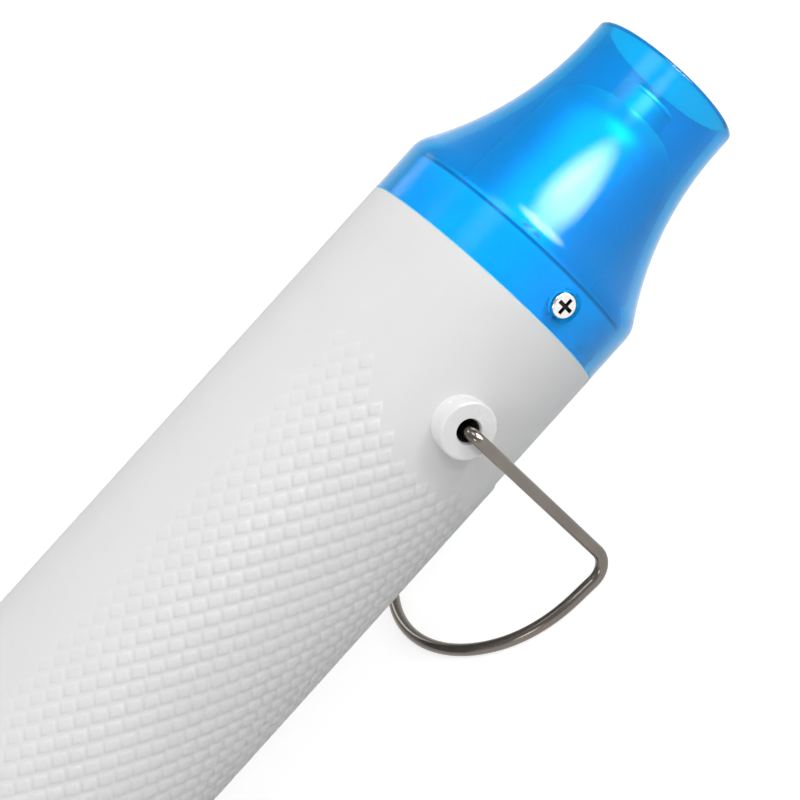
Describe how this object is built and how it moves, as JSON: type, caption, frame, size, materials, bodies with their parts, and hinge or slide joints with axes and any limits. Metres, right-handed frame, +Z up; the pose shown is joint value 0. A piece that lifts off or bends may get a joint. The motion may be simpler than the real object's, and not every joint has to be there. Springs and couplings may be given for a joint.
{
  "type": "embossing heat tool",
  "caption": "Pen-shaped hot-air tool for embossing powder, with a steel nozzle in a translucent guard, a rocker switch and a hinged wire stand.",
  "frame": {"origin": "middle of the part's box on the surface that it stands on, under the tool", "axes": "+X level along the tool towards the nozzle, +Z up, +Y to the left; the tool's own axis rises towards +X by the angle at which it stands on its wire stand and its rear rim"},
  "size_m": [0.2264, 0.0566, 0.0624],
  "materials": {
    "white_housing": "satin",
    "white_bush": "gloss",
    "blue_guard": "clear gloss",
    "stand_wire": "polished",
    "nickel_screws": "bright nickel plate",
    "nozzle_steel": "bright pressed steel",
    "grey_rubber": "satin",
    "black_switch": "satin",
    "black_rocker": "satin",
    "inner_plastic": "satin",
    "motor_steel": "zinc plated",
    "sintered_bronze": "sintered",
    "magnet_ferrite": "matt",
    "copper": "enamelled copper",
    "brass_contacts": "plain",
    "carbon": "matt",
    "board_laminate": "matt",
    "diode_body": "gloss",
    "heater_ceramic": "matt",
    "mica": "pearly",
    "resistance_wire": "oxidised",
    "cutoff_case": "plain",
    "lead_insulation": "matt"
  },
  "bodies": {
    "tool": {"barrel": "white_housing", "rear_cap": "white_housing", "rear_cap_screws": "nickel_screws", "cord_gland": "grey_rubber", "cord_clamp": "inner_plastic", "cord_clamp_screws": "nickel_screws", "nozzle_guard": "blue_guard", "guard_screws": "nickel_screws", "bail_bush_right": "white_bush", "bail_bush_left": "white_bush", "switch_housing": "black_switch", "switch_terminals": "brass_contacts", "motor_can": "motor_steel", "motor_bushing_rear": "sintered_bronze", "motor_bushing_front": "sintered_bronze", "motor_magnets": "magnet_ferrite", "motor_end_cap": "inner_plastic", "motor_terminals": "brass_contacts", "motor_brushes": "carbon", "motor_mount_screws": "nickel_screws", "fan_duct": "inner_plastic", "rectifier_board": "board_laminate", "rectifier_diodes": "diode_body", "element_base": "heater_ceramic", "element_terminals": "brass_contacts", "mica_plate_upright": "mica", "mica_plate_level": "mica", "heating_coil": "resistance_wire", "mica_sleeve": "mica", "thermal_cutoff": "cutoff_case", "steel_nozzle": "nozzle_steel", "nozzle_screws": "nickel_screws", "switch_lead": "lead_insulation", "element_leads": "lead_insulation"},
    "stand": {"bail": "stand_wire"},
    "rocker": {"switch_rocker": "black_rocker"},
    "rotor": {"motor_shaft": "motor_steel", "rotor_core": "motor_steel", "rotor_windings": "copper", "commutator": "copper", "fan_impeller": "inner_plastic"}
  },
  "joints": [
    {"name": "stand_swing", "type": "hinge", "parent": "tool", "child": "stand", "pos_m": [0.05005, 0, 0.03736], "axis": [0, 1, 0], "range_deg": [-105, 16]},
    {"name": "switch_rock", "type": "hinge", "parent": "tool", "child": "rocker", "pos_m": [-0.04635, 0, 0.04987], "axis": [0, 1, 0], "range_deg": [0, 14]},
    {"name": "fan_spin", "type": "hinge", "parent": "tool", "child": "rotor", "pos_m": [-0.00351, 0, 0.03231], "axis": [0.9956, 0, 0.0939], "continuous": true}
  ]
}
